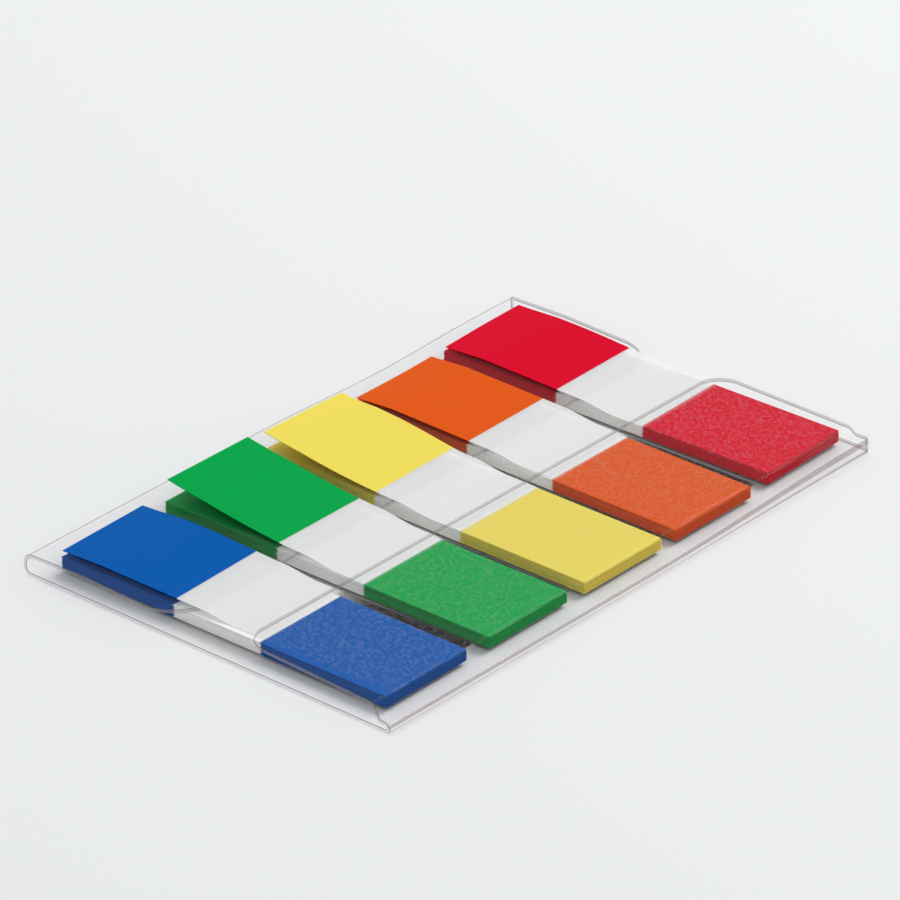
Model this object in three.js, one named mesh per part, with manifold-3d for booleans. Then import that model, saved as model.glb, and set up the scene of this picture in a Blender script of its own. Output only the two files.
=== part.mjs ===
// Film index flags in a pocket dispenser, in millimetres, +Z up.
// One clear sheet is folded in on both long sides, and five pads of flags lie in its pocket.
// The first flag of each pad comes out through the slot between the two covers.
// Origin: middle of the sheet's underside. X runs across the folds, Y along the row of pads.
import * as THREE from 'three';
import { mergeVertices } from 'three/addons/utils/BufferGeometryUtils.js';
import Module from 'manifold-3d';

const wasm = await Module();
wasm.setup();

// Flags and pads
const flagLength = 43.2;
const flagWidth = 11.9;
const flagThickness = 0.07;
const flagsInPad = 20;
const leafStagger = 0.12;
const padPitch = 14.42;

// Margins of the sheet round the pads
const leftMargin = 2.7;
const rightMargin = 3.18;
const frontMargin = 3.08;
const backMargin = 1.34;

// Dispenser sheet
const sheetThickness = 0.4;
const leftCoverWidth = 20.8;
const slotWidth = 7.8;
const leftCornerRadius = 4.5;
const rightCornerRadius = 3;
const leftCoverTrim = 0.3;
const rightCoverTrimAtFold = 0.4;
const rightCoverTrimAtEdge = 0.7;
const rightCoverSkew = 0.6;
const trimInset = 1;

// Left side: an open fold, and a cover that crests and then comes down to rest on the pads
const openFoldRadius = 0.7;
const foldOverPads = 0.17;
const crestOverPads = 0.37;
const edgeOverPads = 0.06;
const crestInset = 8;
const crestRadius = 40;

// The open fold is pressed down a little beside the orange pad
const foldDip = 0.45;
const foldDipPad = 3;
const foldDipReach = 16;

// Right side: a tight crease, a flat hem, and a cover that steps up over the pads' ends
const creaseGap = 0.1;
const hemWidth = 1.9;
const hemBendRadius = 0.6;
const padEndClearance = 0.5;
const coverOverFlags = 0.25;

// The top flags: how they lie on the left cover and fall through the slot onto their pads
const flagOverCover = 0.05;
const fallStart = 0.3;
const fallLength = 5;

// Each pad: its colour, and how it was laid: shift in mm and turn in degrees.
// Its top flag has a shift and turn of its own, the lift of its free end and the bow of its
// coloured end, both first at the front edge and then at the back edge.
const pads = [
  {
    name: 'blue', colour: 0x0a5fb4, shift: [-0.06, -0.25], turn: 0.48,
    flag: { shift: [-0.1, 0.3], turn: 1.7, lift: [0, 0], bow: [0, 0.25] },
  },
  {
    name: 'green', colour: 0x00a54b, shift: [-0.02, 0.28], turn: 0.46,
    flag: { shift: [0.2, 0.4], turn: 0.1, lift: [1.8, 1.75], bow: [0.05, 0.1] },
  },
  {
    name: 'yellow', colour: 0xf5e15f, shift: [0.19, 0.16], turn: 0.04,
    flag: { shift: [0.5, 0.1], turn: 0.6, lift: [1.6, 1.4], bow: [0, 0.5] },
  },
  {
    name: 'orange', colour: 0xe65a0f, shift: [0.21, -0.16], turn: -0.12,
    flag: { shift: [0.4, -0.1], turn: 1, lift: [0, 0], bow: [0, 0] },
  },
  {
    name: 'red', colour: 0xdc0028, shift: [-0.32, -0.03], turn: 1.23,
    flag: { shift: [0, -0.2], turn: 0.8, lift: [0, 0.1], bow: [0, 0.2] },
  },
];

// How finely curves are drawn
const arcStep = Math.PI / 12;
const sheetSteps = 24;
const flagSteps = 32;
const flagRows = 4;

// Heights and places that follow from the sizes above
const padTop = sheetThickness + (flagsInPad - 1) * flagThickness;
const padLength = flagLength + leafStagger;
const sheetWidth = leftMargin + padLength + rightMargin;
const sheetLength = frontMargin + (pads.length - 1) * padPitch + flagWidth + backMargin;
const rightEdge = leftCoverWidth + slotWidth;
const foldTop = padTop + foldOverPads + sheetThickness;
const crestTop = padTop + crestOverPads + sheetThickness;
const edgeTop = padTop + edgeOverPads + sheetThickness;
const rightCoverTop = padTop + flagThickness + coverOverFlags + sheetThickness;

function padMiddle(index) {
  return frontMargin + index * padPitch + flagWidth / 2;
}

// Goes from 0 to 1 with no kink at either end
function ease(value) {
  return THREE.MathUtils.smoothstep(value, 0, 1);
}

// Replaces each corner that has a radius by an arc
function roundCorners(corners) {
  const origin = new THREE.Vector2();
  const points = corners.flatMap(([x, y, radius = 0], index) => {
    const corner = new THREE.Vector2(x, y);
    if (radius === 0) {
      return [corner];
    }
    const back = new THREE.Vector2(...corners[index - 1]).sub(corner).normalize();
    const ahead = new THREE.Vector2(...corners[index + 1]).sub(corner).normalize();
    const half = Math.acos(back.dot(ahead)) / 2;
    const centre = back.clone().add(ahead).setLength(radius / Math.sin(half)).add(corner);
    const spoke = back.clone().setLength(radius / Math.tan(half)).add(corner).sub(centre);
    const sweep = Math.sign(ahead.cross(back)) * (Math.PI - 2 * half);
    const steps = Math.max(2, Math.ceil(Math.abs(sweep) / arcStep));
    return Array.from({ length: steps + 1 }, (_, step) => (
      spoke.clone().rotateAround(origin, sweep * step / steps).add(centre)
    ));
  });
  return points.filter((point, index) => index === 0 || point.distanceTo(points[index - 1]) > 1e-6);
}

// Gives a line the thickness of a film, half on each side
function filmShape(line, thickness) {
  const side = (distance) => line.map((point, index) => {
    const before = line[Math.max(index - 1, 0)];
    const after = line[Math.min(index + 1, line.length - 1)];
    const along = after.clone().sub(before).normalize();
    return new THREE.Vector2(-along.y, along.x).multiplyScalar(distance).add(point);
  });
  return new THREE.Shape([...side(-thickness / 2), ...side(thickness / 2).reverse()]);
}

// Extrudes a section drawn in X and Z along Y
function extrudeAlongY(section, start, length, steps) {
  const geometry = new THREE.ExtrudeGeometry(section, { depth: length, steps, bevelEnabled: false });
  geometry.rotateX(Math.PI / 2);
  geometry.translate(0, start + length, 0);
  return geometry;
}

// Moves each point of a geometry up or down by a function of its place
function displace(geometry, rise) {
  const { position } = geometry.attributes;
  for (let index = 0; index < position.count; index += 1) {
    const x = position.getX(index);
    const y = position.getY(index);
    const z = position.getZ(index);
    position.setZ(index, z + rise(x, y, z));
  }
  return geometry;
}

function toSolid(geometry) {
  const bare = geometry.clone();
  bare.deleteAttribute('normal');
  bare.deleteAttribute('uv');
  const merged = mergeVertices(bare);
  return new wasm.Manifold(new wasm.Mesh({
    numProp: 3,
    vertProperties: merged.attributes.position.array,
    triVerts: merged.index.array,
  }));
}

function toGeometry(solid) {
  const { vertProperties, triVerts } = solid.getMesh();
  const geometry = new THREE.BufferGeometry();
  geometry.setAttribute('position', new THREE.BufferAttribute(vertProperties, 3));
  geometry.setIndex(new THREE.BufferAttribute(triVerts, 1));
  geometry.computeVertexNormals();
  return geometry;
}

// The middle of the folded sheet's section, from the left cover's edge to the right cover's
function sheetLine() {
  const half = sheetThickness / 2;
  const creaseRadius = half + creaseGap / 2;
  const hemMiddle = sheetThickness + creaseGap + half;
  const shoulder = leftMargin + padLength + padEndClearance;
  return roundCorners([
    [leftCoverWidth, edgeTop - half],
    [crestInset, crestTop - half, crestRadius],
    [half, foldTop - half, openFoldRadius],
    [half, half, openFoldRadius],
    [sheetWidth - half, half, creaseRadius],
    [sheetWidth - half, hemMiddle, creaseRadius],
    [sheetWidth - hemWidth, hemMiddle, hemBendRadius],
    [shoulder, rightCoverTop - half, hemBendRadius],
    [rightEdge, rightCoverTop - half],
  ]);
}

// How far the dip in the open fold lowers the left cover, least at its crest
function dipAt(x, y) {
  const along = 1 - Math.abs(y - padMiddle(foldDipPad)) / foldDipReach;
  const across = Math.max(0, 1 - x / crestInset);
  return foldDip * ease(along) * across;
}

// A cover's outline seen from above, from its fold to its free edge
function coverOutline(fold, edge, trimAtFold, trimAtEdge, skew, radius) {
  return new THREE.Shape(roundCorners([
    [fold, trimAtFold],
    [edge, trimAtEdge + skew, radius],
    [edge, sheetLength - trimAtEdge + skew, radius],
    [fold, sheetLength - trimAtFold],
  ]));
}

function upright(outline, bottom, top) {
  const geometry = new THREE.ExtrudeGeometry(outline, { depth: top - bottom, bevelEnabled: false });
  return toSolid(geometry.translate(0, 0, bottom));
}

// The folded film: its base has square ends, and its covers are cut to their own outlines
function makeSheet() {
  const section = filmShape(sheetLine(), sheetThickness);
  const folded = extrudeAlongY(section, 0, sheetLength, sheetSteps);
  displace(folded, (x, y, z) => {
    const share = Math.max(0, z - sheetThickness) / (foldTop - sheetThickness);
    return -dipAt(x, y) * share;
  });
  const left = coverOutline(0, leftCoverWidth, leftCoverTrim, leftCoverTrim, 0, leftCornerRadius);
  const right = coverOutline(sheetWidth, rightEdge, rightCoverTrimAtFold, rightCoverTrimAtEdge,
    rightCoverSkew, rightCornerRadius);
  const bottom = sheetThickness + creaseGap / 2;
  const top = crestTop + rightCoverTop;
  const waste = new THREE.Shape([
    new THREE.Vector2(trimInset, -sheetLength),
    new THREE.Vector2(sheetWidth - trimInset, -sheetLength),
    new THREE.Vector2(sheetWidth - trimInset, 2 * sheetLength),
    new THREE.Vector2(trimInset, 2 * sheetLength),
  ]);
  const offcuts = upright(waste, bottom, top)
    .subtract(upright(left, 0, 2 * top))
    .subtract(upright(right, 0, 2 * top));
  return toGeometry(toSolid(folded).subtract(offcuts));
}

// A pad's leaves lie alternately a little to the left and to the right
function makePad() {
  const left = [];
  const right = [];
  for (let leaf = 0; leaf < flagsInPad - 1; leaf += 1) {
    const start = (leaf % 2) * leafStagger;
    for (const face of [leaf, leaf + 1]) {
      const height = sheetThickness + face * flagThickness;
      left.push(new THREE.Vector2(start, height));
      right.push(new THREE.Vector2(start + flagLength, height));
    }
  }
  const section = new THREE.Shape([...right, ...left.reverse()]);
  const geometry = extrudeAlongY(section, -flagWidth / 2, flagWidth, 1);
  return geometry.translate(-padLength / 2, 0, 0);
}

// The height of the left cover's top
function coverTop(x, y) {
  const crested = x < crestInset
    ? THREE.MathUtils.mapLinear(x, 0, crestInset, foldTop, crestTop)
    : THREE.MathUtils.mapLinear(x, crestInset, leftCoverWidth, crestTop, edgeTop);
  return crested - dipAt(x, y);
}

// The underside of a flag that lies on the left cover and falls through the slot to its pad
function restHeight(x, y) {
  const fall = ease((x - leftCoverWidth - fallStart) / fallLength);
  const onCover = coverTop(Math.min(x, leftCoverWidth + fallStart), y) + flagOverCover;
  return THREE.MathUtils.lerp(onCover, padTop, fall);
}

function makeTopFlag({ lift, bow }, middle) {
  const geometry = new THREE.BoxGeometry(flagLength, flagWidth, flagThickness, flagSteps, flagRows, 1);
  geometry.translate(0, 0, flagThickness / 2);
  return displace(geometry, (x, y) => {
    const across = leftMargin + padLength / 2 + x;
    const share = y / flagWidth + 0.5;
    const along = Math.min(1, (x + flagLength / 2) / (leftCoverWidth - leftMargin));
    const curl = THREE.MathUtils.lerp(...lift, share) * (1 - along) ** 2;
    const arch = THREE.MathUtils.lerp(...bow, share) * (4 * along * (1 - along)) ** 2;
    return restHeight(across, middle + y) + curl + arch;
  });
}

function film(colour, roughness) {
  return new THREE.MeshStandardMaterial({ color: colour, roughness, metalness: 0 });
}

function named(name, geometry, material) {
  const mesh = new THREE.Mesh(geometry, material);
  mesh.name = name;
  return mesh;
}

// Places a mesh in the middle of its row, shifted and turned as it was laid
function lay(mesh, index, [shiftX, shiftY], turn) {
  mesh.position.set(leftMargin + padLength / 2 + shiftX, padMiddle(index) + shiftY, 0);
  mesh.rotation.z = THREE.MathUtils.degToRad(turn);
  return mesh;
}

const tabs = new THREE.Group();
const clear = film(0xe4e6e6, 0.08);
clear.transparent = true;
clear.opacity = 0.35;
tabs.add(named('dispenser_sheet', makeSheet(), clear));
pads.forEach((pad, index) => {
  const leaves = named(`${pad.name}_pad`, makePad(), film(pad.colour, 0.45));
  const flag = named(`${pad.name}_top_flag`, makeTopFlag(pad.flag, padMiddle(index)), film(pad.colour, 0.3));
  tabs.add(lay(leaves, index, pad.shift, pad.turn));
  tabs.add(lay(flag, index, pad.flag.shift, pad.flag.turn));
});
tabs.position.set(-sheetWidth / 2, -sheetLength / 2, 0);

export default tabs;
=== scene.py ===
"""Film index flags in a folded clear dispenser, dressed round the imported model.

Lengths are metres. X runs across the folds, Y along the row of pads and Z up.
"""

import math

import bmesh
import bpy
import numpy as np
from bpy.props import (
    FloatProperty,
    FloatVectorProperty,
    IntProperty,
    PointerProperty,
)
from mathutils import Matrix, Vector


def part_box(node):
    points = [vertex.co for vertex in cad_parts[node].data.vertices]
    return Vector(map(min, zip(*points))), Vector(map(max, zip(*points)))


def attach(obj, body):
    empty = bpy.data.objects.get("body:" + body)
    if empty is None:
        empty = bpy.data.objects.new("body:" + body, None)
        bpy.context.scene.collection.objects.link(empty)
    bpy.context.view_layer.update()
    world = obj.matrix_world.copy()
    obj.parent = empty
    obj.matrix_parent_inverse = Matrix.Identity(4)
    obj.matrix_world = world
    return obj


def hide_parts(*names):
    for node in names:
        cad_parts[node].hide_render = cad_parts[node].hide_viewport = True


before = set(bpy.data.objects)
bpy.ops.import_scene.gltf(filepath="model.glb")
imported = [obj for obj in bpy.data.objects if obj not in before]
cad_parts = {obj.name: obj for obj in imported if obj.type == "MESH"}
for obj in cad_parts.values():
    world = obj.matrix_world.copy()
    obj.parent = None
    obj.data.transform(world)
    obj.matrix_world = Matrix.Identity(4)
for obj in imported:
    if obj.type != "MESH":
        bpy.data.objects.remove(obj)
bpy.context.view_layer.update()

bl_info = {
    "name": "Index flags",
    "version": (1, 0, 0),
    "blender": (4, 5, 0),
    "location": "3D View > Sidebar > Index flags",
    "description": "Makes film index flags in a clear folded dispenser",
    "category": "Add Mesh",
}

MM = 0.001
BODY = "root"
COLOURS = ("blue", "green", "yellow", "orange", "red")
SHEET_LOW, SHEET_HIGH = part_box("dispenser_sheet")
SHEET_WIDTH = SHEET_HIGH.x - SHEET_LOW.x
SHEET_LENGTH = SHEET_HIGH.y - SHEET_LOW.y

# How finely the film's mesh is drawn, and a leaf's and a top flag's in columns and rows
ARC_STEP = math.radians(5)
ARC_LEAST = 4
CORNER_STEP_DEGREES = 9
ALONG_STEP = 0.45 * MM
ROW_STEP = 0.9 * MM
SAME_POINT = 0.01 * MM
LEAF_COLUMNS, LEAF_ROWS = 12, 4
FLAG_COLUMNS, FLAG_ROWS = 145, 33

# The film's surfaces, by their place in its list of materials
FILM, CUT, RIM, FOLD, COVER_EDGE = range(5)

# How much of what is behind them the film's edges and bends hide, in the same order; the rims', bends'
# and covers' edges' colours are painted shade, and on the bends also painted reflection of the pads
EDGE_COVERS = {"cut_edge": 0.75, "edge_line": 0.85, "fold_line": 0.5, "cover_edge": 0.4}

# Which way the film's outer side faces where a bend is painted as a fine line of shade and reflection:
# on top of the open fold in X below the first and in Z above the second, and at the crease in Z
# between the two
FOLD_FACING = (-0.07, 0.85)
CREASE_FACING = (0.3, 0.9)

# The clear film's look: its gloss, and what it hides where it is seen along
FILM_IOR = 1.49
GLOSS_SHARE = 0.08
SEEN_ALONG = (0.80, 0.97)
SEEN_ALONG_SHARE = 0.6
FILM_BUMP = 0.04 * MM

# The leaves' look; the share below darkens the pads' coloured sides, partly as painted shade and
# partly as the deeper colour of the stacked edges
LEAF_BUMP = 0.03 * MM
LEAF_SPECULAR = 0.02
SIDE_SHADE_AND_DEPTH = 0.8
LEAF_BLUR = 0.12 * MM
FLAG_BLUR = 0.05 * MM

# The top flags: how much their milky film hides, where it gives way to the glued end as shares
# of the length, and what the dry and the wet patches of glue hide there
MILKY_ALPHA = 0.6
GLUE_START = (0.58, 0.63)
GLUE_HAZE = (0.032, 0.0)
PATCH_SIZE = 0.4 * MM
PATCH_BEND = 0.1 * MM

# The stage
FLOOR_SIZE = 4
FLOOR_GAP = 0.02 * MM
FILL_COLOUR = (0.97, 0.985, 1)
KEY_SIZE = 0.9
KEY_PLACE = (0.15, 0.80, 0.95)
SENSOR = 36
CAMERA_TARGET = (-9.14 * MM, 9.69 * MM, 0)


# Settings that a user would change


def distance(name, description, default, **limits):
    """A length of the model, written in millimetres and kept in metres."""
    return FloatProperty(
        name=name,
        description=description,
        default=default * MM,
        precision=5,
        unit="LENGTH",
        subtype="DISTANCE",
        **limits,
    )


def colour(name, description, default):
    return FloatVectorProperty(
        name=name,
        description=description,
        default=default,
        size=3,
        min=0,
        max=1,
        subtype="COLOR",
    )


def front_and_back(name, description, default):
    """A height at a flag's front edge and one at its back edge, in millimetres."""
    return FloatVectorProperty(
        name=name,
        description=description,
        default=[value * MM for value in default],
        size=2,
        precision=5,
        unit="LENGTH",
    )


class INDEXFLAGS_PG_sheet(bpy.types.PropertyGroup):
    """The folded film that holds the pads"""

    thickness: distance("Thickness", "Thickness of the clear film", 0.4)
    rounding: distance("Edge rounding", "Rounding of the cut edges", 0.05)
    left_cover: distance("Left cover", "Width of the cover over the free ends", 20.8)
    slot: distance("Slot", "Gap between the two covers", 7.8)
    left_corner: distance("Left corners", "Corner radius of the left cover", 4.5)
    right_corner: distance("Right corners", "Corner radius of the right cover", 3)
    left_trim: distance("Left trim", "How far the left cover stays inside the ends", 0.3)
    right_trim_fold: distance("Right trim at fold", "Trim of the right cover at its fold", 0.4)
    right_trim_edge: distance("Right trim at edge", "Trim of the right cover at its edge", 0.7)
    right_skew: distance("Right skew", "How far the right cover leans to the back", 0.6)
    trim_start: distance("Trim start", "Distance from a fold at which the trim begins", 1)
    fold_radius: distance("Open fold", "Radius of the open fold", 0.7)
    fold_rise: distance("Fold rise", "Height of the open fold over the pads", 0.17)
    crest_rise: distance("Crest rise", "Height of the left cover's crest over the pads", 0.37)
    edge_rise: distance("Edge rise", "Height of the left cover's edge over the pads", 0.06)
    crest_inset: distance("Crest inset", "Distance from the fold to the crest", 8)
    crest_radius: distance("Crest radius", "Radius of the crest", 40)
    dip_depth: distance("Dip depth", "How far the open fold is pressed down", 0.45)
    dip_reach: distance("Dip reach", "Half the length of the dip", 16)
    crease_gap: distance("Crease gap", "Gap inside the tight crease", 0.1)
    hem: distance("Hem", "Width of the flat hem", 1.9)
    hem_radius: distance("Hem radius", "Radius of the bends beside the hem", 0.6)
    shoulder: distance("Shoulder", "Distance from the crease to the cover's shoulder", 2.68)
    cover_gap: distance("Cover gap", "Gap from the top flags to the right cover", 0.25)
    opening: distance("Crease opening", "How far the crease stands open at the back", 1.0)
    crease_corner: distance("Crease corner", "Corner radius at the back of the crease", 1.3)
    tint: colour("Tint", "Colour that the clear film adds", (0.45, 0.38, 0.39))
    haze: FloatProperty(
        name="Haze", description="Share of the light that a face of the film takes", default=0.018
    )
    cut_edge: colour("Cut edge", "Colour of the frosted cut edges", (0.86, 0.85, 0.85))
    # The rims' dark colour is painted shade: it stands for the dark lines that refraction and the
    # contact shadow give along the film's cut edges
    edge_line: colour("Edge line", "Colour of the cut edges' rims", (0.16, 0.13, 0.14))
    # The covers' cut edges are painted grey: painted shade for the dark line that refraction gives
    # there
    cover_edge: colour("Cover edge", "Colour of the covers' cut edges", (0.42, 0.39, 0.40))
    # The bends' dark reddish colour is painted shade and painted reflection of the pads in the bent
    # film
    fold_line: colour("Fold line", "Colour of the bent film", (0.26, 0.13, 0.12))


class INDEXFLAGS_PG_leaves(bpy.types.PropertyGroup):
    """The pads of leaves and their top flags"""

    leaves: IntProperty(name="Leaves", description="Leaves in a pad", default=19, min=2)
    thickness: distance("Thickness", "Thickness of one leaf", 0.07)
    air: distance("Air", "Air between two leaves", 0.006)
    stagger: distance("Stagger", "Step between two leaves' ends", 0.12)
    unevenness: distance("Unevenness", "How far a leaf may lie out of line", 0.05)
    coloured_end: distance("Coloured end", "Length of a flag's coloured end", 15.3)
    right_end: distance("Right end", "Length of the pads' coloured right end", 16.4)
    over_cover: distance("Over cover", "Gap between the left cover and a flag", 0.05)
    fall_start: distance("Fall start", "Distance from the cover to the start of the fall", 0.3)
    fall_length: distance("Fall length", "Length over which a flag falls to its pad", 5)
    seed: IntProperty(name="Seed", description="Seed of the leaves' unevenness", default=7)
    milky: colour("Milky film", "Colour of the uncoloured film", (0.97, 0.975, 0.965))
    cut_side: colour("Cut side", "Colour of the uncoloured leaves' cut side", (0.95, 0.92, 0.87))

    blue: colour("Blue", "Colour of the blue flags", (0.0, 0.105, 0.43))
    green: colour("Green", "Colour of the green flags", (0.0, 0.38, 0.07))
    yellow: colour("Yellow", "Colour of the yellow flags", (0.91, 0.75, 0.115))
    orange: colour("Orange", "Colour of the orange flags", (0.79, 0.102, 0.006))
    red: colour("Red", "Colour of the red flags", (0.72, 0.0, 0.022))

    blue_lift: front_and_back("Blue lift", "Lift of the blue flag's free end", (0, 0))
    green_lift: front_and_back("Green lift", "Lift of the green flag's free end", (1.79, 1.74))
    yellow_lift: front_and_back("Yellow lift", "Lift of the yellow flag's free end", (1.6, 1.4))
    orange_lift: front_and_back("Orange lift", "Lift of the orange flag's free end", (0, 0))
    red_lift: front_and_back("Red lift", "Lift of the red flag's free end", (0, 0.1))

    blue_bow: front_and_back("Blue bow", "Bow of the blue flag's coloured end", (0, 0.25))
    green_bow: front_and_back("Green bow", "Bow of the green flag's coloured end", (0.05, 0.1))
    yellow_bow: front_and_back("Yellow bow", "Bow of the yellow flag's coloured end", (0, 0.5))
    orange_bow: front_and_back("Orange bow", "Bow of the orange flag's coloured end", (0, 0))
    red_bow: front_and_back("Red bow", "Bow of the red flag's coloured end", (0, 0.2))


class INDEXFLAGS_PG_stage(bpy.types.PropertyGroup):
    """The floor, the light and the camera"""

    floor: colour("Floor", "Colour of the floor", (0.87, 0.88, 0.885))
    backdrop: colour("Backdrop", "Colour of the surroundings as they are seen", (0.86, 0.87, 0.875))
    fill: FloatProperty(
        name="Fill", description="Strength of the light from all round", default=0.58, min=0
    )
    key_power: FloatProperty(
        name="Key light", description="Power of the large lamp in watts", default=9.2, min=0
    )
    azimuth: FloatProperty(
        name="Azimuth",
        description="Direction in which the camera looks, from +Y",
        default=math.radians(42.10),
        subtype="ANGLE",
    )
    elevation: FloatProperty(
        name="Elevation",
        description="Height of the camera above the horizon",
        default=math.radians(28.33),
        subtype="ANGLE",
    )
    roll: FloatProperty(
        name="Roll",
        description="Turn of the camera about its own axis",
        default=math.radians(-1.10),
        subtype="ANGLE",
    )
    camera_distance: distance("Camera distance", "Distance from the camera to its target", 704)
    lens: FloatProperty(
        name="Lens", description="Focal length of the lens in millimetres", default=273.4, min=1
    )


class INDEXFLAGS_PG_settings(bpy.types.PropertyGroup):
    """All settings of the index flags"""

    sheet: PointerProperty(type=INDEXFLAGS_PG_sheet)
    leaves: PointerProperty(type=INDEXFLAGS_PG_leaves)
    stage: PointerProperty(type=INDEXFLAGS_PG_stage)


# Node trees, written as formulas


def feed(tree, socket, value):
    """Gives a node's input another node's output or a plain value."""
    if isinstance(value, Field):
        value = value.socket
    if isinstance(value, bpy.types.NodeSocket):
        tree.links.new(value, socket)
    else:
        socket.default_value = value


def add_node(tree, kind, inputs=None, **settings):
    node = tree.nodes.new(kind)
    for name, value in settings.items():
        setattr(node, name, value)
    for name, value in (inputs or {}).items():
        feed(tree, node.inputs[name], value)
    return node


class Field:
    """A number that varies over a shape, in a shader tree or a geometry tree."""

    def __init__(self, tree, socket):
        self.tree = tree
        self.socket = socket

    def math(self, operation, *others):
        node = add_node(self.tree, "ShaderNodeMath", operation=operation)
        for socket, value in zip(node.inputs, (self, *others)):
            feed(self.tree, socket, value)
        return Field(self.tree, node.outputs[0])

    def __add__(self, other):
        return self.math("ADD", other)

    def __sub__(self, other):
        return self.math("SUBTRACT", other)

    def __rsub__(self, other):
        return self * -1 + other

    def __mul__(self, other):
        return self.math("MULTIPLY", other)

    __rmul__ = __mul__

    def __truediv__(self, other):
        return self.math("DIVIDE", other)

    def __rtruediv__(self, other):
        return self**-1 * other

    def __pow__(self, other):
        return self.math("POWER", other)

    def between(self, low, high, start=0.0, end=1.0, shape="LINEAR"):
        """Goes from start to end as this number goes from low to high, and stays there."""
        values = (self, low, high, start, end)
        node = add_node(self.tree, "ShaderNodeMapRange", interpolation_type=shape)
        for socket, value in zip(node.inputs, values):
            feed(self.tree, socket, value)
        return Field(self.tree, node.outputs[0])

    def ease(self, low, high, start=0.0, end=1.0):
        return self.between(low, high, start, end, "SMOOTHSTEP")


def split(tree, vector):
    node = add_node(tree, "ShaderNodeSeparateXYZ", {0: vector})
    return [Field(tree, socket) for socket in node.outputs]


def join(tree, x, y, z):
    return add_node(tree, "ShaderNodeCombineXYZ", {0: x, 1: y, 2: z}).outputs[0]


def mix_colours(tree, share, first, second):
    """A mix of two colours, each a socket or a plain colour."""
    node = add_node(tree, "ShaderNodeMix", {0: share}, data_type="RGBA")
    for socket, value in zip((node.inputs[6], node.inputs[7]), (first, second)):
        if not isinstance(value, bpy.types.NodeSocket):
            value = (*value, 1.0)
        feed(tree, socket, value)
    return node.outputs[2]


def new_group(name, kind, inputs, outputs):
    """A node group with these sockets, and its input and output nodes."""
    tree = bpy.data.node_groups.new(name, kind)
    for direction, sockets in (("INPUT", inputs), ("OUTPUT", outputs)):
        for label, socket in sockets.items():
            tree.interface.new_socket(label, in_out=direction, socket_type="NodeSocket" + socket)
    given = add_node(tree, "NodeGroupInput")
    values = {socket.name: Field(tree, socket) for socket in given.outputs if socket.name}
    return tree, values, add_node(tree, "NodeGroupOutput")


# Shader groups that several materials share


def make_film_surface():
    """Large faint waves, and small scuffs that dull the gloss."""
    tree, given, result = new_group(
        "Film surface",
        "ShaderNodeTree",
        {"Waves": "Float", "Scuffs": "Float", "Roughness": "Float"},
        {"Height": "Float", "Roughness": "Float"},
    )
    place = add_node(tree, "ShaderNodeTexCoord").outputs["Object"]
    broad = add_node(tree, "ShaderNodeTexNoise", {"Vector": place, "Scale": 90, "Detail": 1})
    fine = add_node(tree, "ShaderNodeTexNoise", {"Vector": place, "Scale": 900, "Detail": 4})
    speck = add_node(tree, "ShaderNodeTexNoise", {"Vector": place, "Scale": 4200, "Detail": 2})
    broad_wave = Field(tree, broad.outputs["Fac"])
    fine_wave = Field(tree, fine.outputs["Fac"])
    dull = fine_wave.ease(0.52, 0.72) * Field(tree, speck.outputs["Fac"]).between(0.4, 0.6)
    feed(tree, result.inputs["Height"], broad_wave * given["Waves"] + dull * given["Scuffs"] * 0.02)
    feed(tree, result.inputs["Roughness"], given["Roughness"] + dull * given["Scuffs"])
    return tree


def make_glue_patches():
    """Nearly one where glue wets the film below it, and nearly nought in the dry spots."""
    tree, given, result = new_group(
        "Glue patches",
        "ShaderNodeTree",
        {"Patch size": "Float"},
        {"Wet": "Float"},
    )
    place = add_node(tree, "ShaderNodeTexCoord").outputs["Object"]
    scale = 1 / given["Patch size"]
    bends = add_node(tree, "ShaderNodeTexNoise", {"Vector": place, "Scale": scale * 0.9, "Detail": 2})
    moved = add_node(tree, "ShaderNodeVectorMath", operation="MULTIPLY_ADD")
    feed(tree, moved.inputs[0], bends.outputs["Color"])
    moved.inputs[1].default_value = (PATCH_BEND, PATCH_BEND, PATCH_BEND)
    feed(tree, moved.inputs[2], place)
    cells = add_node(
        tree,
        "ShaderNodeTexVoronoi",
        {"Vector": moved.outputs[0], "Scale": scale},
        feature="SMOOTH_F1",
    )
    large = add_node(tree, "ShaderNodeTexNoise", {"Vector": place, "Scale": scale * 0.3, "Detail": 3})
    wet = Field(tree, cells.outputs["Distance"]).ease(0.2, 0.55)
    feed(tree, result.inputs["Wet"], wet * 0.8 + Field(tree, large.outputs["Fac"]) * 0.2)
    return tree


def make_coloured_ends():
    """Where a leaf's coloured ends are, from its length and its map along and across."""
    tree, given, result = new_group(
        "Coloured ends",
        "ShaderNodeTree",
        {
            "Leaf length": "Float",
            "Coloured end": "Float",
            "Right end": "Float",
            "Softness": "Float",
        },
        {"Free end": "Float", "Glued end": "Float", "From free end": "Float"},
    )
    place = add_node(tree, "ShaderNodeTexCoord").outputs["UV"]
    along = split(tree, place)[0] * given["Leaf length"]
    grain = add_node(tree, "ShaderNodeTexNoise", {"Scale": 3000, "Detail": 2})
    feed(tree, grain.inputs["Vector"], add_node(tree, "ShaderNodeTexCoord").outputs["Object"])
    fray = (Field(tree, grain.outputs["Fac"]) - 0.5) * given["Softness"]
    free = along + fray
    glued = given["Leaf length"] - along + fray
    soft = given["Softness"]
    left, right = given["Coloured end"], given["Right end"]
    feed(tree, result.inputs["Free end"], free.between(left - soft, left + soft, 1, 0))
    feed(tree, result.inputs["Glued end"], glued.between(right - soft, right + soft, 1, 0))
    feed(tree, result.inputs["From free end"], along)
    return tree


def place_group(tree, group, **values):
    node = add_node(tree, "ShaderNodeGroup", node_tree=group)
    for label, value in values.items():
        feed(tree, node.inputs[label.replace("_", " ").capitalize()], value)
    return {socket.name: Field(tree, socket) for socket in node.outputs}


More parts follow.
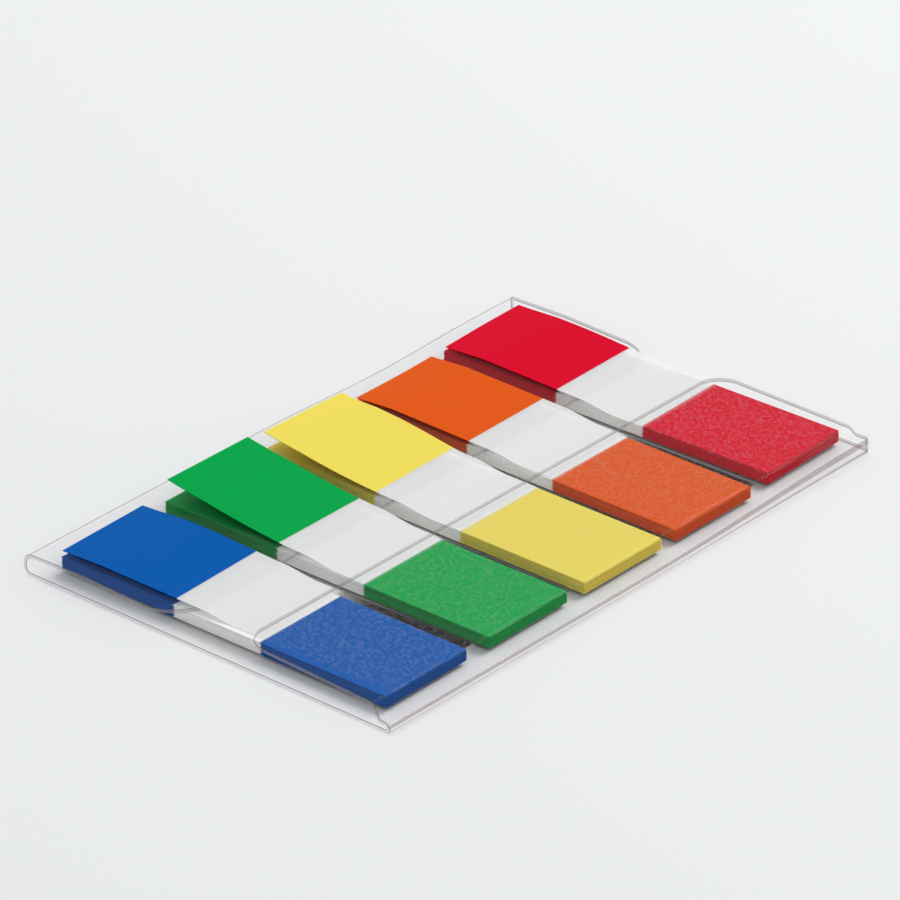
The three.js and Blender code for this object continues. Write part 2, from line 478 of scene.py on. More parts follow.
def new_material(name):
    material = bpy.data.materials.new(name)
    material.use_nodes = True
    tree = material.node_tree
    tree.nodes.clear()
    return material, tree, add_node(tree, "ShaderNodeOutputMaterial")


def mix_shaders(tree, share, first, second):
    node = add_node(tree, "ShaderNodeMixShader", {0: share})
    feed(tree, node.inputs[1], first.outputs[0])
    feed(tree, node.inputs[2], second.outputs[0])
    return node


def bump(tree, height, distance_value):
    node = add_node(tree, "ShaderNodeBump", {"Height": height, "Distance": distance_value})
    return node.outputs["Normal"]


def make_clear_film(settings):
    """Clear film that takes a little light, takes more where it is seen along, and shines."""
    material, tree, output = new_material("clear_film")
    surface = place_group(
        tree, bpy.data.node_groups["Film surface"], waves=1, scuffs=0.05, roughness=0.02
    )
    normal = bump(tree, surface["Height"], FILM_BUMP)
    facing = add_node(tree, "ShaderNodeLayerWeight", {"Blend": 0.5}).outputs["Facing"]
    seen_along = Field(tree, facing).ease(*SEEN_ALONG)
    fresnel = add_node(tree, "ShaderNodeFresnel", {"IOR": FILM_IOR, "Normal": normal})
    body = add_node(
        tree,
        "ShaderNodeBsdfPrincipled",
        {
            "Base Color": (*settings.tint, 1),
            "Roughness": surface["Roughness"],
            "Specular IOR Level": 0.5,
            "Normal": normal,
        },
    )
    gloss = add_node(
        tree,
        "ShaderNodeBsdfAnisotropic",
        {"Color": (1, 1, 1, 1), "Roughness": surface["Roughness"], "Normal": normal},
    )
    inner = add_node(tree, "ShaderNodeNewGeometry").outputs["Backfacing"]
    outer_gloss = Field(tree, fresnel.outputs[0]) * (1 - Field(tree, inner)) * GLOSS_SHARE
    share = seen_along * SEEN_ALONG_SHARE * (1 - settings.haze) + settings.haze
    film = mix_shaders(tree, share, add_node(tree, "ShaderNodeBsdfTransparent"), body)
    shining = mix_shaders(tree, outer_gloss, film, gloss)
    feed(tree, output.inputs["Surface"], shining.outputs[0])
    return material


def make_cut_edge(name, ink, cover):
    """An edge or a bend of the film, which hides this share of what is behind it; on the rims, bends
    and covers' edges its flat colour is painted shade, and on the bends also painted reflection.
    """
    material, tree, output = new_material(name)
    surface = place_group(
        tree, bpy.data.node_groups["Film surface"], waves=1, scuffs=0.3, roughness=0.25
    )
    body = add_node(
        tree,
        "ShaderNodeBsdfPrincipled",
        {
            "Base Color": (*ink, 1),
            "Roughness": surface["Roughness"],
            "Alpha": cover,
            "Normal": bump(tree, surface["Height"], FILM_BUMP),
        },
    )
    feed(tree, output.inputs["Surface"], body.outputs[0])
    return material


def make_leaf_material(name, settings, leaf_length):
    """A pad's leaves: coloured at both ends, and milky between, with a cut side, and coloured sides
    painted darker than the tops, partly as shade and partly as the stacked edges' deeper colour.
    """
    material, tree, output = new_material(f"{name}_leaves")
    groups = bpy.data.node_groups
    ends = place_group(
        tree,
        groups["Coloured ends"],
        leaf_length=leaf_length,
        coloured_end=settings.coloured_end,
        right_end=settings.right_end,
        softness=LEAF_BLUR,
    )
    surface = place_group(tree, groups["Film surface"], waves=0.4, scuffs=0.06, roughness=0.42)
    geometry = add_node(tree, "ShaderNodeNewGeometry")
    upward = split(tree, geometry.outputs["True Normal"])[2].math("ABSOLUTE")
    place = add_node(tree, "ShaderNodeTexCoord").outputs["Object"]
    ink = tuple(getattr(settings, name))
    # The coloured sides get a darker ink than the tops: painted shade, and partly the deeper colour of
    # the stacked edges
    shaded_deep_ink = tuple(value * SIDE_SHADE_AND_DEPTH for value in ink)
    streaks = add_node(tree, "ShaderNodeTexNoise", {"Scale": 1, "Detail": 2})
    stretch = add_node(tree, "ShaderNodeMapping", {"Vector": place, "Scale": (500, 500, 16000)})
    feed(tree, streaks.inputs["Vector"], stretch.outputs[0])
    streak = Field(tree, streaks.outputs["Fac"]).between(0.35, 0.65)
    shaded_side_ink = mix_colours(tree, streak, shaded_deep_ink, ink)
    side_milk = mix_colours(tree, streak, settings.cut_side, settings.milky)
    ink_with_shaded_sides = mix_colours(tree, upward.between(0.3, 0.7), shaded_side_ink, ink)
    milk = mix_colours(tree, upward.between(0.3, 0.7), side_milk, settings.milky)
    share = ends["Free end"].math("MAXIMUM", ends["Glued end"])
    shaded = add_node(
        tree,
        "ShaderNodeBsdfPrincipled",
        {
            "Base Color": mix_colours(tree, share, milk, ink_with_shaded_sides),
            "Roughness": surface["Roughness"],
            "Specular IOR Level": LEAF_SPECULAR,
            "Normal": bump(tree, surface["Height"], LEAF_BUMP),
        },
    )
    feed(tree, output.inputs["Surface"], shaded.outputs[0])
    return material


def make_flag_material(name, settings, leaf_length):
    """A top flag: a coloured free end, milky film, and a glued end that its glue clears."""
    material, tree, output = new_material(f"{name}_flag")
    groups = bpy.data.node_groups
    ends = place_group(
        tree,
        groups["Coloured ends"],
        leaf_length=leaf_length,
        coloured_end=settings.coloured_end,
        right_end=settings.right_end,
        softness=FLAG_BLUR,
    )
    surface = place_group(tree, groups["Film surface"], waves=0.5, scuffs=0.05, roughness=0.4)
    wet = place_group(tree, groups["Glue patches"], patch_size=PATCH_SIZE)["Wet"]
    glued = ends["From free end"].ease(*(leaf_length * share for share in GLUE_START))
    haze = wet.between(0.2, 0.7, *GLUE_HAZE)
    film_alpha = MILKY_ALPHA * (1 - glued) + haze * glued
    shaded = add_node(
        tree,
        "ShaderNodeBsdfPrincipled",
        {
            "Base Color": mix_colours(tree, ends["Free end"], settings.milky, getattr(settings, name)),
            "Roughness": surface["Roughness"],
            "Specular IOR Level": LEAF_SPECULAR,
            "Alpha": film_alpha * (1 - ends["Free end"]) + ends["Free end"],
            "Normal": bump(tree, surface["Height"], LEAF_BUMP),
        },
    )
    feed(tree, output.inputs["Surface"], shaded.outputs[0])
    return material


# Meshes


def ease(value):
    value = np.clip(value, 0, 1)
    return value * value * (3 - 2 * value)


def link(name, mesh):
    made = bpy.data.objects.new(name, mesh)
    bpy.context.scene.collection.objects.link(made)
    return made


def smooth(mesh, angle):
    """Smooth shading, with sharp edges where faces meet at more than this angle."""
    mesh.shade_smooth()
    mesh.set_sharp_from_angle(angle=math.radians(angle))


def dress(made, slot, *nodes):
    """Puts a finished piece on its body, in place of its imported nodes."""
    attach(made, BODY)
    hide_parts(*nodes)


def how_it_lies(node):
    """A flat node's middle, its turn about Z, and its length and width."""
    points = np.array([vertex.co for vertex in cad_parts[node].data.vertices], float)
    flat = np.unique(points.round(7), axis=0)[:, :2]
    spread = np.cov(flat.T)
    turn = 0.5 * math.atan2(2 * spread[0, 1], spread[0, 0] - spread[1, 1])
    axes = np.array(Matrix.Rotation(turn, 2))
    turned = flat @ axes
    low, high = turned.min(0), turned.max(0)
    x, y = axes @ ((low + high) / 2)
    length, width = high - low
    return Vector((x, y, 0)), turn, float(length), float(width)


def cover_heights(sheet, leaf_thickness):
    """The heights of the pads' top, and of the covers' at the fold, crest, edge and right."""
    pad_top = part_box("blue_pad")[1].z
    return {
        "pad": pad_top,
        "fold": pad_top + sheet.fold_rise + sheet.thickness,
        "crest": pad_top + sheet.crest_rise + sheet.thickness,
        "edge": pad_top + sheet.edge_rise + sheet.thickness,
        "right": pad_top + leaf_thickness + sheet.cover_gap + sheet.thickness,
    }


# The folded film


def rounded_corner(before, corner, after, radius):
    """An arc of this radius that touches both sides of a corner."""
    back = (before - corner) / np.linalg.norm(before - corner)
    ahead = (after - corner) / np.linalg.norm(after - corner)
    half = math.acos(np.dot(back, ahead)) / 2
    bisector = (back + ahead) / np.linalg.norm(back + ahead)
    centre = corner + bisector * radius / math.sin(half)
    spoke = corner + back * radius / math.tan(half) - centre
    sweep = math.copysign(math.pi - 2 * half, ahead[0] * back[1] - ahead[1] * back[0])
    count = max(ARC_LEAST, math.ceil(abs(sweep) / ARC_STEP))
    return [
        centre + np.array(Matrix.Rotation(angle, 2)) @ spoke
        for angle in np.linspace(0, sweep, count + 1)
    ]


def sheet_section(sheet, heights):
    """The middle of the folded film in X and Z, from the left cover's edge to the right's."""
    half = sheet.thickness / 2
    crease = half + sheet.crease_gap / 2
    hem_middle = sheet.thickness + sheet.crease_gap + half
    left, right = SHEET_LOW.x, SHEET_HIGH.x
    corners = [
        (left + sheet.left_cover, heights["edge"] - half, 0),
        (left + sheet.crest_inset, heights["crest"] - half, sheet.crest_radius),
        (left + half, heights["fold"] - half, sheet.fold_radius),
        (left + half, half, sheet.fold_radius),
        (right - half, half, crease),
        (right - half, hem_middle, crease),
        (right - sheet.hem, hem_middle, sheet.hem_radius),
        (right - sheet.shoulder, heights["right"] - half, sheet.hem_radius),
        (left + sheet.left_cover + sheet.slot, heights["right"] - half, 0),
    ]
    points = []
    for index, (x, z, radius) in enumerate(corners):
        corner = np.array((x, z))
        if radius == 0:
            points.append(corner)
            continue
        before, after = (np.array(corners[index + step][:2]) for step in (-1, 1))
        points += rounded_corner(before, corner, after, radius)
    return np.array(points)


def refined(line, from_start, from_end):
    """A line with points added: at these distances from its ends, and along its straight runs."""
    steps = np.linalg.norm(np.diff(line, axis=0), axis=1)
    reach = np.concatenate([[0], np.cumsum(steps)])
    stops = [*reach, *from_start, *(reach[-1] - from_end)]
    for start, step in zip(reach, steps):
        count = math.ceil(step / ALONG_STEP)
        stops += [start + step * share / count for share in range(1, count)]
    stops = np.unique(np.array(stops).round(8))
    stops = stops[np.concatenate([[True], np.diff(stops) > SAME_POINT])]
    return np.stack([np.interp(stops, reach, line[:, axis]) for axis in (0, 1)], axis=1)


def cover_ends(sheet, line):
    """Where the film starts and ends in Y at each point of its section."""
    x = line[:, 0]
    index = np.arange(len(x))
    on_left = index < np.argmin(x)
    on_right = index > np.argmax(x)
    from_fold = np.where(on_left, x - SHEET_LOW.x, SHEET_HIGH.x - x)
    cover = np.where(on_left, sheet.left_cover, SHEET_WIDTH - sheet.left_cover - sheet.slot)
    share = from_fold / cover
    begun = ease(from_fold / sheet.trim_start)
    radius = np.where(on_left, sheet.left_corner, sheet.right_corner)
    inside = np.clip(radius - (cover - from_fold), 0, radius)
    corner = radius - np.sqrt(radius**2 - inside**2)
    growth = sheet.right_trim_edge - sheet.right_trim_fold
    even = np.where(on_left, sheet.left_trim, sheet.right_trim_fold + growth * share)
    lean = np.where(on_right, sheet.right_skew * share, 0)
    trimmed = on_left | on_right
    round_inside = np.clip(x - SHEET_HIGH.x + sheet.crease_corner, 0, sheet.crease_corner)
    crease_corner = sheet.crease_corner - np.sqrt(sheet.crease_corner**2 - round_inside**2)
    front = np.where(trimmed, (even + lean) * begun + corner, 0)
    back = np.where(trimmed, (even - lean) * begun + corner, 0)
    return SHEET_LOW.y + front, SHEET_HIGH.y - np.maximum(back, crease_corner)


def corner_distances(radius, rounding):
    """Distances from a cover's edge: its rounding, then even steps round its corner."""
    turns = np.radians(np.arange(CORNER_STEP_DEGREES, 91, CORNER_STEP_DEGREES))
    return np.concatenate([[rounding, 2 * rounding], radius * (1 - np.cos(turns))])


def make_sheet_mesh(sheet, heights):
    """The folded film as one closed shell with rounded cut edges."""
    left_stops = corner_distances(sheet.left_corner, sheet.rounding)
    right_stops = corner_distances(sheet.right_corner, sheet.rounding)
    line = refined(sheet_section(sheet, heights), left_stops, right_stops)
    along = np.zeros_like(line)
    along[1:-1] = line[2:] - line[:-2]
    along[0], along[-1] = line[1] - line[0], line[-1] - line[-2]
    along /= np.linalg.norm(along, axis=1)[:, None]
    normal = np.stack([-along[:, 1], along[:, 0]], axis=1)
    front, back = cover_ends(sheet, line)
    inset = np.array([0, sheet.rounding, 2 * sheet.rounding])
    rows = math.ceil(SHEET_LENGTH / ROW_STEP)
    share = np.linspace(0, 1, rows + 1)[1:-1]
    low, high = front + inset[-1], back - inset[-1]
    y = np.concatenate(
        [
            front[:, None] + inset,
            low[:, None] + (high - low)[:, None] * share,
            back[:, None] - inset[::-1],
        ],
        axis=1,
    )
    offset = np.full(y.shape, sheet.thickness / 2)
    offset[:, (0, -1)] -= sheet.rounding
    offset[(0, -1), :] = sheet.thickness / 2 - sheet.rounding
    faces_points = []
    for side in (1, -1):
        x = line[:, None, 0] + side * offset * normal[:, None, 0]
        z = line[:, None, 1] + side * offset * normal[:, None, 1]
        z -= fold_dip(sheet, x, y) * np.clip(
            (z - sheet.thickness) / (heights["fold"] - sheet.thickness), 0, None
        )
        z += crease_opening(sheet, heights, line, y)
        faces_points.append(np.stack([x, y, z], axis=2))
    outward = -normal
    # The top bend of the open fold and the two bends of the crease get fine painted lines of shade and
    # of the pads' reflection
    at_open_fold = (outward[:, 0] < FOLD_FACING[0]) & (outward[:, 1] > FOLD_FACING[1])
    steepness = np.abs(outward[:, 1])
    bent = (steepness > CREASE_FACING[0]) & (steepness < CREASE_FACING[1])
    at_crease = (line[:, 0] > SHEET_HIGH.x - sheet.thickness) & bent
    outer = np.where(at_open_fold | at_crease, FOLD, FILM)[:-1]
    index = np.arange(len(line) - 1)
    on_base = (index > np.argmin(line[:, 0])) & (index < np.argmax(line[:, 0]))
    # The base's cut edges are frosted; the covers' cut edges get the painted shade colour
    cut = np.where(on_base, CUT, COVER_EDGE)
    return shell_mesh("dispenser_film", *faces_points, outer, cut)


def crease_opening(sheet, heights, line, y):
    """How far the crease opens towards the back, from the base up to the cover's shoulder."""
    x, z = line[:, 0], line[:, 1]
    low, high = sheet.thickness / 2, heights["right"] - sheet.thickness / 2
    hem = sheet.thickness * 1.5 + sheet.crease_gap
    rising = np.clip((z - low) / (hem - low), 0, 1)
    fading = np.clip((high - z) / (high - hem), 0, 1)
    beside = x > SHEET_HIGH.x - sheet.shoulder - sheet.hem_radius
    share = np.where(beside, np.minimum(rising, fading), 0)
    along = ease((y - SHEET_LOW.y) / SHEET_LENGTH * 2 - 1)
    return sheet.opening * share[:, None] * along


def fold_dip(sheet, x, y):
    """How far the dip in the open fold lowers the left cover."""
    middle = how_it_lies("orange_pad")[0].y
    along = ease(1 - np.abs(y - middle) / sheet.dip_reach)
    across = np.clip(1 - (x - SHEET_LOW.x) / sheet.crest_inset, 0, None)
    return sheet.dip_depth * along * across


def shell_mesh(name, upper, lower, outer, cut):
    """A closed shell from two grids of points, with its columns' outer and cut materials."""
    columns, rows = upper.shape[:2]
    points = np.concatenate([upper.reshape(-1, 3), lower.reshape(-1, 3)])
    numbers = np.arange(columns * rows).reshape(columns, rows)
    below = numbers + columns * rows
    faces = []
    for grid in (numbers, below[:, ::-1]):
        quads = (grid[:-1, :-1], grid[1:, :-1], grid[1:, 1:], grid[:-1, 1:])
        faces.append(np.stack(quads, axis=2).reshape(-1, 4))
    for top, under in (
        (numbers[:, 0], below[:, 0]),
        (numbers[::-1, -1], below[::-1, -1]),
        (numbers[0, ::-1], below[0, ::-1]),
        (numbers[-1, :], below[-1, :]),
    ):
        faces.append(np.stack([top[:-1], under[:-1], under[1:], top[1:]], axis=1))
    mesh = bpy.data.meshes.new(name)
    mesh.from_pydata(points.tolist(), [], np.concatenate(faces).tolist())
    column, row = np.indices((columns - 1, rows - 1))
    # The rounded rims along every cut edge take the painted shade lines
    on_rim = (column % (columns - 2) == 0) | (row % (rows - 2) == 0)
    kinds = [np.where(on_rim, RIM, FILM).ravel(), np.where(on_rim, RIM, outer[:, None]).ravel()]
    kinds += [cut, cut[::-1], *(np.full(len(part), COVER_EDGE) for part in faces[4:])]
    mesh.polygons.foreach_set("material_index", np.concatenate(kinds))
    shell = bmesh.new()
    shell.from_mesh(mesh)
    bmesh.ops.recalc_face_normals(shell, faces=shell.faces)
    shell.to_mesh(mesh)
    shell.free()
    return mesh


# Geometry trees


def grown(name, tree, **values):
    """Runs a geometry tree with these values and keeps the result as a plain mesh."""
    made = link(name, bpy.data.meshes.new(name))
    modifier = made.modifiers.new("Tree", "NODES")
    modifier.node_group = tree
    sockets = {
        item.name: item.identifier
        for item in tree.interface.items_tree
        if item.item_type == "SOCKET" and item.in_out == "INPUT"
    }
    for label, value in values.items():
        modifier[sockets[label.replace("_", " ").capitalize()]] = value
    bpy.context.view_layer.update()
    graph = bpy.context.evaluated_depsgraph_get()
    mesh = bpy.data.meshes.new_from_object(
        made.evaluated_get(graph), preserve_all_data_layers=True, depsgraph=graph
    )
    made.modifiers.remove(modifier)
    made.data = mesh
    mesh.name = name
    return made


def map_along_and_across(tree, geometry, x, y, length, width):
    """Stores a map that goes from nought to one along a leaf and across it."""
    place = join(tree, x / length + 0.5, y / width + 0.5, 0)
    store = add_node(
        tree,
        "GeometryNodeStoreNamedAttribute",
        {"Geometry": geometry, "Name": "UVMap"},
        data_type="FLOAT2",
        domain="CORNER",
    )
    feed(tree, store.inputs["Value"], place)
    return store.outputs[0]


def laid_and_finished(tree, geometry, given, result):
    """Turns a piece, moves it to its place, and gives it its material."""
    turn = join(tree, 0, 0, given["Turn"])
    laid = add_node(
        tree,
        "GeometryNodeTransform",
        {"Geometry": geometry, "Translation": given["Middle"], "Rotation": turn},
    )
    real = add_node(tree, "GeometryNodeRealizeInstances", {"Geometry": laid.outputs[0]})
    finish = add_node(
        tree,
        "GeometryNodeSetMaterial",
        {"Geometry": real.outputs[0], "Material": given["Material"]},
    )
    feed(tree, result.inputs[0], finish.outputs[0])


def make_pad_tree():
    """A stack of film leaves, each a little out of line with the next."""
    tree, given, result = new_group(
        "Leaf stack",
        "GeometryNodeTree",
        {
            "Length": "Float",
            "Width": "Float",
            "Thickness": "Float",
            "Air": "Float",
            "Leaves": "Int",
            "Stagger": "Float",
            "Unevenness": "Float",
            "Bottom": "Float",
            "Seed": "Int",
            "Middle": "Vector",
            "Turn": "Float",
            "Material": "Material",
        },
        {"Geometry": "Geometry"},
    )
    size = join(tree, given["Length"], given["Width"], given["Thickness"] - given["Air"])
    leaf = add_node(
        tree,
        "GeometryNodeMeshCube",
        {"Size": size, "Vertices X": LEAF_COLUMNS, "Vertices Y": LEAF_ROWS, "Vertices Z": 2},
    )
    x, y = split(tree, add_node(tree, "GeometryNodeInputPosition").outputs[0])[:2]
    mapped = map_along_and_across(tree, leaf.outputs[0], x, y, given["Length"], given["Width"])
    stack = add_node(
        tree,
        "GeometryNodeMeshLine",
        {
            "Count": given["Leaves"],
            "Start Location": join(tree, 0, 0, given["Bottom"] + given["Thickness"] * 0.5),
            "Offset": join(tree, 0, 0, given["Thickness"]),
        },
    )
    number = Field(tree, add_node(tree, "GeometryNodeInputIndex").outputs[0])
    side = number.math("MODULO", 2) * 2 - 1
    loose = random_field(tree, given["Seed"], 0)
    slip = join(
        tree,
        side * given["Stagger"] * 0.5 + (loose - 0.5) * given["Unevenness"],
        (random_field(tree, given["Seed"], 1) - 0.5) * given["Unevenness"] * 2,
        0,
    )
    placed = add_node(
        tree,
        "GeometryNodeSetPosition",
        {"Geometry": stack.outputs[0], "Offset": slip},
    )
    leaves = add_node(
        tree,
        "GeometryNodeInstanceOnPoints",
        {"Points": placed.outputs[0], "Instance": mapped},
    )
    laid_and_finished(tree, leaves.outputs[0], given, result)
    return tree


def random_field(tree, seed, step):
    """A random number from nought to one for each point."""
    node = add_node(tree, "FunctionNodeRandomValue", data_type="FLOAT")
    feed(tree, node.inputs["Seed"], seed + step)
    return Field(tree, node.outputs[1])


def make_flag_tree():
    """A top flag, which lies on the left cover and falls through the slot to its pad."""
    lengths = ("Length", "Width", "Thickness", "Left edge", "Crest inset", "Cover width")
    levels = ("Fold top", "Crest top", "Edge top", "Pad top", "Over cover")
    shapes = ("Fall start", "Fall length", "Front lift", "Back lift", "Front bow", "Back bow")
    dips = ("Dip depth", "Dip middle", "Dip reach")
    inputs = {label: "Float" for label in (*lengths, *levels, *shapes, *dips)}
    inputs.update({"Middle": "Vector", "Turn": "Float", "Material": "Material"})
    tree, given, result = new_group(
        "Top flag", "GeometryNodeTree", inputs, {"Geometry": "Geometry"}
    )
    size = join(tree, given["Length"], given["Width"], given["Thickness"])
    strip = add_node(
        tree,
        "GeometryNodeMeshCube",
        {"Size": size, "Vertices X": FLAG_COLUMNS, "Vertices Y": FLAG_ROWS, "Vertices Z": 2},
    )
    x, y = split(tree, add_node(tree, "GeometryNodeInputPosition").outputs[0])[:2]
    mapped = map_along_and_across(tree, strip.outputs[0], x, y, given["Length"], given["Width"])
    middle_x, middle_y = split(tree, given["Middle"])[:2]
    cosine, sine = given["Turn"].math("COSINE"), given["Turn"].math("SINE")
    across = middle_x + x * cosine - y * sine - given["Left edge"]
    row = middle_y + x * sine + y * cosine

    rising = across.between(0, given["Crest inset"], given["Fold top"], given["Crest top"])
    falling = across.between(
        given["Crest inset"], given["Cover width"], 0, given["Edge top"] - given["Crest top"]
    )
    near_dip = 1 - (row - given["Dip middle"]).math("ABSOLUTE") / given["Dip reach"]
    dip = given["Dip depth"] * near_dip.ease(0, 1) * across.between(0, given["Crest inset"], 1, 0)
    on_cover = rising + falling - dip + given["Over cover"]
    start = given["Cover width"] + given["Fall start"]
    fall = across.ease(start, start + given["Fall length"])
    rest = on_cover * (1 - fall) + given["Pad top"] * fall

    share = y / given["Width"] + 0.5
    free_end = given["Cover width"] - (middle_x - given["Left edge"] - given["Length"] * 0.5)
    along = (x + given["Length"] * 0.5).between(0, free_end)
    lift = given["Front lift"] * (1 - share) + given["Back lift"] * share
    bow = given["Front bow"] * (1 - share) + given["Back bow"] * share
    curl = lift * (1 - along) ** 2
    arch = bow * (4 * along * (1 - along)) ** 2
    height = rest + curl + arch + given["Thickness"] * 0.5
    shaped = add_node(
        tree,
        "GeometryNodeSetPosition",
        {"Geometry": mapped, "Offset": join(tree, 0, 0, height)},
    )
    laid_and_finished(tree, shaped.outputs[0], given, result)
    return tree


# Operators, one for each piece or group of like pieces


def settings_of(context):
    return context.scene.index_flags


class INDEXFLAGS_OT_sheet(bpy.types.Operator):
    """Make the folded clear film that holds the pads"""

    bl_idname = "index_flags.make_sheet"
    bl_label = "Make the dispenser"

    def execute(self, context):
        settings = settings_of(context)
        heights = cover_heights(settings.sheet, settings.leaves.thickness)
        mesh = make_sheet_mesh(settings.sheet, heights)
        smooth(mesh, 60)
        mesh.materials.append(make_clear_film(settings.sheet))
        for name, cover in EDGE_COVERS.items():
            ink = getattr(settings.sheet, name)
            mesh.materials.append(make_cut_edge(name, ink, cover))
        made = link("dispenser_film", mesh)
        # With its shadow, the margin by the crease comes out darker than in the photo
        made.visible_shadow = False
        dress(made, "clear_film", "dispenser_sheet")
        return {"FINISHED"}


class INDEXFLAGS_OT_pads(bpy.types.Operator):
    """Make the five pads of leaves"""

    bl_idname = "index_flags.make_pads"
    bl_label = "Make the pads"

    def execute(self, context):
        leaves = settings_of(context).leaves
        tree = make_pad_tree()
        for number, name in enumerate(COLOURS):
            node = f"{name}_pad"
            middle, turn, length, width = how_it_lies(node)
            made = grown(
                f"{name}_leaf_stack",
                tree,
                length=length - leaves.stagger,
                width=width - leaves.unevenness * 2,
                thickness=leaves.thickness,
                air=leaves.air,
                leaves=leaves.leaves,
                stagger=leaves.stagger,
                unevenness=leaves.unevenness,
                bottom=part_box(node)[0].z,
                seed=leaves.seed + 10 * number,
                middle=middle,
                turn=turn,
                material=make_leaf_material(name, leaves, length),
            )
            smooth(made.data, 30)
            dress(made, f"{name}_leaves", node)
        return {"FINISHED"}


class INDEXFLAGS_OT_flags(bpy.types.Operator):
    """Make the five top flags, which come out through the slot"""

    bl_idname = "index_flags.make_flags"
    bl_label = "Make the top flags"

    def execute(self, context):
        settings = settings_of(context)
        sheet, leaves = settings.sheet, settings.leaves
        heights = cover_heights(sheet, leaves.thickness)
        tree = make_flag_tree()
        for name in COLOURS:
            node = f"{name}_top_flag"
            middle, turn, length, width = how_it_lies(node)
            lift, bow = getattr(leaves, f"{name}_lift"), getattr(leaves, f"{name}_bow")
            made = grown(
                f"{name}_film_flag",
                tree,
                length=length,
                width=width,
                thickness=leaves.thickness,
                left_edge=SHEET_LOW.x,
                crest_inset=sheet.crest_inset,
                cover_width=sheet.left_cover,
                fold_top=heights["fold"],
                crest_top=heights["crest"],
                edge_top=heights["edge"],
                pad_top=heights["pad"],
                over_cover=leaves.over_cover,
                fall_start=leaves.fall_start,
                fall_length=leaves.fall_length,
                front_lift=lift[0],
                back_lift=lift[1],
                front_bow=bow[0],
                back_bow=bow[1],
                dip_depth=sheet.dip_depth,
                dip_middle=how_it_lies("orange_pad")[0].y,
                dip_reach=sheet.dip_reach,
                middle=middle,
                turn=turn,
                material=make_flag_material(name, leaves, length),
            )
            smooth(made.data, 30)
            dress(made, f"{name}_flag", node)
        return {"FINISHED"}


class INDEXFLAGS_OT_stage(bpy.types.Operator):
    """Make the floor, the light and the camera"""

    bl_idname = "index_flags.make_stage"
    bl_label = "Make the stage"

    def execute(self, context):
        stage = settings_of(context).stage
        make_floor(stage)
        make_world(context.scene, stage)
        make_key_light(stage)
        make_camera(context.scene, stage)
        context.scene.view_settings.view_transform = "Standard"
        return {"FINISHED"}


# The stage


def make_floor(stage):
    half = FLOOR_SIZE / 2
    corners = [(-half, -half), (half, -half), (half, half), (-half, half)]
    mesh = bpy.data.meshes.new("floor")
    mesh.from_pydata([(x, y, -FLOOR_GAP) for x, y in corners], [], [(0, 1, 2, 3)])
    material, tree, output = new_material("floor")
    paper = add_node(
        tree,
        "ShaderNodeBsdfPrincipled",
        {"Base Color": (*stage.floor, 1), "Roughness": 0.6, "Specular IOR Level": 0.1},
    )
    feed(tree, output.inputs["Surface"], paper.outputs[0])
    mesh.materials.append(material)
    link("floor", mesh)


def make_world(scene, stage):
    """Even light from all round, and a pale surrounding where the camera or gloss sees it."""
    world = bpy.data.worlds.new("studio")
    world.use_nodes = True
    tree = world.node_tree
    tree.nodes.clear()
    output = add_node(tree, "ShaderNodeOutputWorld")
    light = add_node(
        tree, "ShaderNodeBackground", {"Color": (*FILL_COLOUR, 1), "Strength": stage.fill}
    )
    seen = add_node(
        tree, "ShaderNodeBackground", {"Color": (*stage.backdrop, 1), "Strength": 1}
    )
    path = add_node(tree, "ShaderNodeLightPath")
    glossy = Field(tree, path.outputs["Is Glossy Ray"])
    share = glossy.math("MAXIMUM", path.outputs["Is Camera Ray"])
    mixed = add_node(tree, "ShaderNodeMixShader", {0: share})
    feed(tree, mixed.inputs[1], light.outputs[0])
    feed(tree, mixed.inputs[2], seen.outputs[0])
    feed(tree, output.inputs["Surface"], mixed.outputs[0])
    scene.world = world


def aim(made, place, target):
    made.location = place
    made.rotation_mode = "QUATERNION"
    made.rotation_quaternion = (Vector(target) - Vector(place)).to_track_quat("-Z", "Y")


def make_key_light(stage):
    """A large soft lamp above, to the back and the right."""
    lamp = bpy.data.lights.new("key", "AREA")
    lamp.shape = "DISK"
    lamp.size = KEY_SIZE
    lamp.energy = stage.key_power
    made = link("key", lamp)
    aim(made, KEY_PLACE, (0, 0, 0))


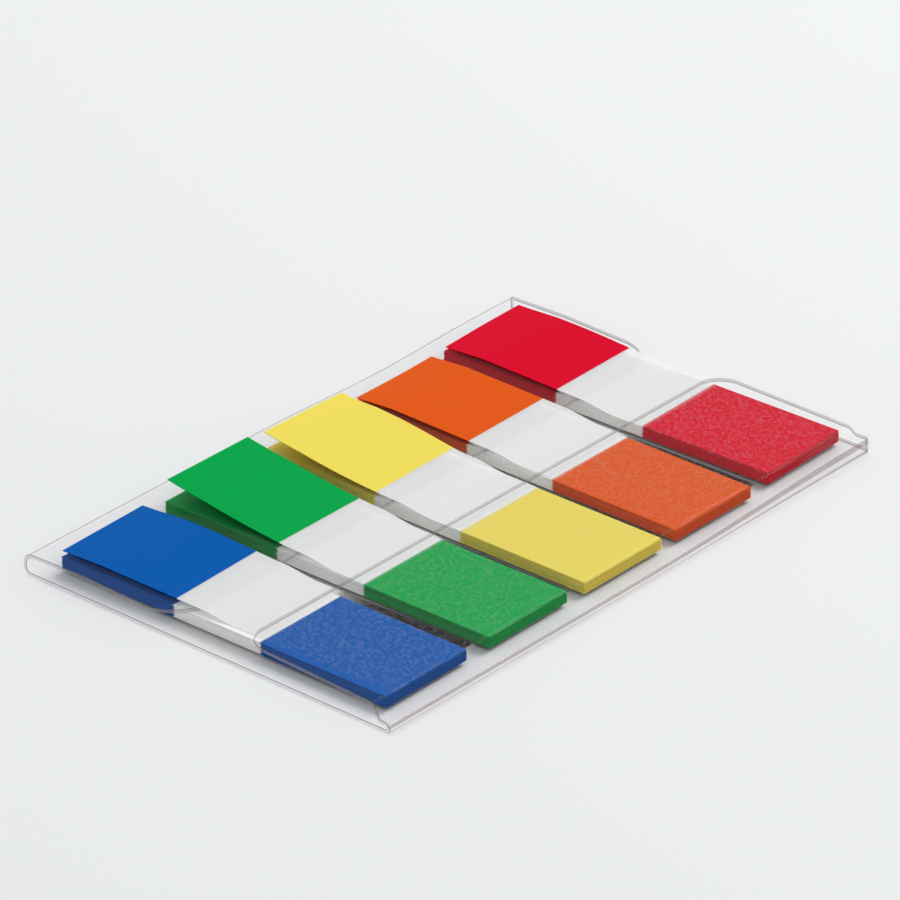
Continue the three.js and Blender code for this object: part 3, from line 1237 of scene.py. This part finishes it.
def make_camera(scene, stage):
    back = Vector(
        (
            math.sin(stage.azimuth) * math.cos(stage.elevation),
            -math.cos(stage.azimuth) * math.cos(stage.elevation),
            math.sin(stage.elevation),
        )
    )
    camera = bpy.data.cameras.new("camera")
    camera.sensor_width = SENSOR
    camera.lens = stage.lens
    made = link("camera", camera)
    across = Vector((0, 0, 1)).cross(back).normalized()
    up = back.cross(across)
    level = Matrix((across, up, back)).transposed()
    turned = level @ Matrix.Rotation(stage.roll, 3, "Z")
    target = Vector(CAMERA_TARGET)
    made.matrix_world = Matrix.Translation(target + back * stage.camera_distance) @ turned.to_4x4()
    scene.camera = made


class INDEXFLAGS_PT_panel(bpy.types.Panel):
    """Lists the settings and the steps"""

    bl_idname = "INDEXFLAGS_PT_panel"
    bl_label = "Index flags"
    bl_space_type = "VIEW_3D"
    bl_region_type = "UI"
    bl_category = "Index flags"

    def draw(self, context):
        settings = settings_of(context)
        for part in ("sheet", "leaves", "stage"):
            box = self.layout.box()
            box.label(text=part.capitalize())
            group = getattr(settings, part)
            for name in group.bl_rna.properties.keys():
                if name not in ("rna_type", "name"):
                    box.prop(group, name)
        for operator in OPERATORS:
            self.layout.operator(operator.bl_idname)


OPERATORS = (
    INDEXFLAGS_OT_stage,
    INDEXFLAGS_OT_pads,
    INDEXFLAGS_OT_flags,
    INDEXFLAGS_OT_sheet,
)
CLASSES = (
    INDEXFLAGS_PG_sheet,
    INDEXFLAGS_PG_leaves,
    INDEXFLAGS_PG_stage,
    INDEXFLAGS_PG_settings,
    *OPERATORS,
    INDEXFLAGS_PT_panel,
)


def register():
    for item in CLASSES:
        bpy.utils.register_class(item)
    bpy.types.Scene.index_flags = PointerProperty(type=INDEXFLAGS_PG_settings)


def unregister():
    del bpy.types.Scene.index_flags
    for item in reversed(CLASSES):
        bpy.utils.unregister_class(item)


def main():
    register()
    make_film_surface()
    make_glue_patches()
    make_coloured_ends()
    bpy.ops.index_flags.make_stage()
    bpy.ops.index_flags.make_pads()
    bpy.ops.index_flags.make_flags()
    bpy.ops.index_flags.make_sheet()


if __name__ == "__main__":
    main()
